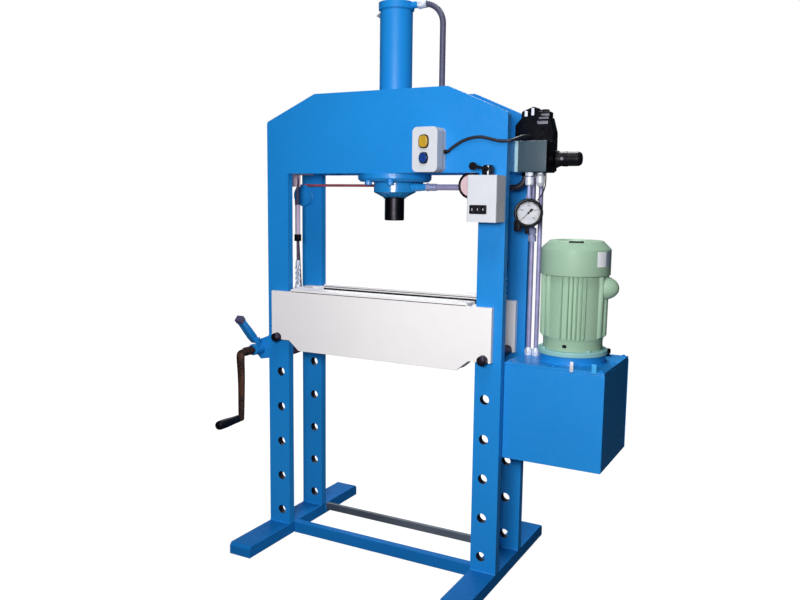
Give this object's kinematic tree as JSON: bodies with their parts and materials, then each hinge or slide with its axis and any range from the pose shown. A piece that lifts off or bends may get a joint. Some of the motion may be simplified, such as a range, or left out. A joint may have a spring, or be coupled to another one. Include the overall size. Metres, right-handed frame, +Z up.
{
  "type": "hydraulic press",
  "caption": "Column-type hydraulic workshop press with a winch-lifted table on pins, side tank with upright motor, valve group and switch boxes.",
  "frame": {"origin": "middle of the base of the whole press, on the floor", "axes": "+X to the tank's side, +Y to the rear, +Z up along the ram"},
  "size_m": [1.404, 0.763, 2.022],
  "materials": {
    "blue_paint": "gloss",
    "white_paint": "satin",
    "green_paint": "satin",
    "slate_paint": "satin",
    "black_paint": "satin",
    "dark_steel": "oiled",
    "bright_steel": "satin",
    "rope_steel": "greased",
    "rusty_iron": "rusty",
    "hose_rubber": "matte",
    "cable_rubber": "matte",
    "box_plastic": "satin",
    "black_plastic": "satin",
    "yellow_plastic": "gloss",
    "blue_plastic": "gloss",
    "dial_white": "matte"
  },
  "bodies": {
    "frame": {"front_frame_plate": "blue_paint", "rear_frame_plate": "blue_paint", "left_foot": "blue_paint", "right_foot": "blue_paint", "front_tie_bar": "blue_paint", "rear_tie_bar": "slate_paint", "head_spacers": "blue_paint", "cylinder_tube": "blue_paint", "cylinder_cap": "blue_paint", "cylinder_flange": "blue_paint", "cylinder_gland": "blue_paint", "top_hose": "hose_rubber", "return_hose": "hose_rubber", "return_valve": "bright_steel", "pressure_pipe": "hose_rubber", "tank_return_pipe": "hose_rubber", "valve_connector": "slate_paint", "valve_block": "black_paint", "solenoid": "black_plastic", "gauge_case": "black_paint", "gauge_dial": "dial_white", "tank": "blue_paint", "tank_cover": "blue_paint", "motor_body": "green_paint", "motor_cowl": "green_paint", "pump": "dark_steel", "control_box": "box_plastic", "pushbutton_box": "box_plastic", "limit_switch": "black_plastic", "button_cable": "cable_rubber", "winch_bearings": "blue_paint", "pulley_mounts": "bright_steel", "lift_rope": "rope_steel", "left_fall": "rope_steel", "cross_rope": "rope_steel", "right_fall": "rope_steel"},
    "ram": {"ram": "dark_steel"},
    "table": {"front_table_beam": "white_paint", "rear_table_beam": "white_paint", "table_spacers": "white_paint", "rope_ends": "bright_steel"},
    "left_pin": {"left_table_pin": "dark_steel"},
    "right_pin": {"right_table_pin": "dark_steel"},
    "winch_shaft": {"winch_drum": "dark_steel", "crank": "rusty_iron"},
    "handle": {"crank_grip": "black_plastic"},
    "pawl": {"pawl_lever": "blue_paint"},
    "upper_pulley": {"small_pulley": "bright_steel"},
    "left_wheel": {"left_sheave": "blue_paint"},
    "right_wheel": {"right_sheave": "blue_paint"},
    "handwheel": {"valve_handwheel": "black_plastic"},
    "needle": {"gauge_needle": "black_plastic"},
    "filler": {"filler_cap": "black_plastic"},
    "rotor": {"motor_rotor": "bright_steel"},
    "key_left": {"left_key": "black_plastic"},
    "key_middle": {"middle_key": "black_plastic"},
    "key_right": {"right_key": "black_plastic"},
    "button_yellow": {"yellow_button": "yellow_plastic"},
    "button_blue": {"blue_button": "blue_plastic"},
    "switch_arm": {"switch_lever": "bright_steel"}
  },
  "joints": [
    {"name": "ram_slide", "type": "slide", "parent": "frame", "child": "ram", "axis": [0, 0, -1], "range_m": [0, 0.45]},
    {"name": "table_slide", "type": "slide", "parent": "frame", "child": "table", "axis": [0, 0, 1], "range_m": [0, 0.05], "deforming": ["left_fall", "right_fall"]},
    {"name": "left_pin_slide", "type": "slide", "parent": "frame", "child": "left_pin", "axis": [0, -1, 0], "range_m": [0, 0.32]},
    {"name": "right_pin_slide", "type": "slide", "parent": "frame", "child": "right_pin", "axis": [0, -1, 0], "range_m": [0, 0.32]},
    {"name": "winch_turn", "type": "hinge", "parent": "frame", "child": "winch_shaft", "pos_m": [-0.644, 0.0045, 0.742], "axis": [0, 1, 0], "range_deg": [0, 53.2]},
    {"name": "grip_turn", "type": "hinge", "parent": "winch_shaft", "child": "handle", "pos_m": [-0.644, -0.3255, 0.489], "axis": [0, 1, 0], "continuous": true},
    {"name": "pawl_turn", "type": "hinge", "parent": "frame", "child": "pawl", "pos_m": [-0.644, -0.1635, 0.78], "axis": [1, 0, 0], "range_deg": [-35, 8]},
    {"name": "upper_pulley_turn", "type": "hinge", "parent": "frame", "child": "upper_pulley", "pos_m": [-0.573, 0.0045, 1.395], "axis": [0, 1, 0], "range_deg": [-169, 0]},
    {"name": "left_sheave_turn", "type": "hinge", "parent": "frame", "child": "left_wheel", "pos_m": [-0.586, 0.0885, 1.34], "axis": [0, 1, 0], "range_deg": [-72, 0]},
    {"name": "right_sheave_turn", "type": "hinge", "parent": "frame", "child": "right_wheel", "pos_m": [0.244, 0.0885, 1.34], "axis": [0, 1, 0], "range_deg": [-72, 0]},
    {"name": "handwheel_turn", "type": "hinge", "parent": "frame", "child": "handwheel", "pos_m": [0.201, -0.0375, 1.3795], "axis": [0, 1, 0], "range_deg": [0, 360]},
    {"name": "needle_turn", "type": "hinge", "parent": "frame", "child": "needle", "pos_m": [0.41684, -0.04929, 1.29], "axis": [-0.342, 0.9397, 0], "range_deg": [0, 270], "stiffness_Nm_per_rad": 0.02},
    {"name": "filler_turn", "type": "hinge", "parent": "frame", "child": "filler", "pos_m": [0.632, 0.2095, 0.8], "axis": [0, 0, 1], "range_deg": [0, 90]},
    {"name": "motor_spin", "type": "hinge", "parent": "frame", "child": "rotor", "pos_m": [0.547, 0.0715, 0.95], "axis": [0, 0, 1], "continuous": true},
    {"name": "left_key_press", "type": "slide", "parent": "frame", "child": "key_left", "axis": [0, 1, 0], "range_m": [0, 0.003], "stiffness_N_per_m": 400},
    {"name": "middle_key_press", "type": "slide", "parent": "frame", "child": "key_middle", "axis": [0, 1, 0], "range_m": [0, 0.003], "stiffness_N_per_m": 400},
    {"name": "right_key_press", "type": "slide", "parent": "frame", "child": "key_right", "axis": [0, 1, 0], "range_m": [0, 0.003], "stiffness_N_per_m": 400},
    {"name": "yellow_press", "type": "slide", "parent": "frame", "child": "button_yellow", "axis": [0, 1, 0], "range_m": [0, 0.004], "stiffness_N_per_m": 500},
    {"name": "blue_press", "type": "slide", "parent": "frame", "child": "button_blue", "axis": [0, 1, 0], "range_m": [0, 0.004], "stiffness_N_per_m": 500},
    {"name": "switch_turn", "type": "hinge", "parent": "frame", "child": "switch_arm", "pos_m": [0.317, -0.1855, 1.43], "axis": [0, 1, 0], "range_deg": [-10, 20], "stiffness_Nm_per_rad": 0.6}
  ],
  "couplings": [
    {"joint": "winch_turn", "follows": "table_slide", "rad_per_m": 18.519},
    {"joint": "upper_pulley_turn", "follows": "table_slide", "rad_per_m": -58.824},
    {"joint": "left_sheave_turn", "follows": "table_slide", "rad_per_m": -25},
    {"joint": "right_sheave_turn", "follows": "table_slide", "rad_per_m": -25}
  ]
}
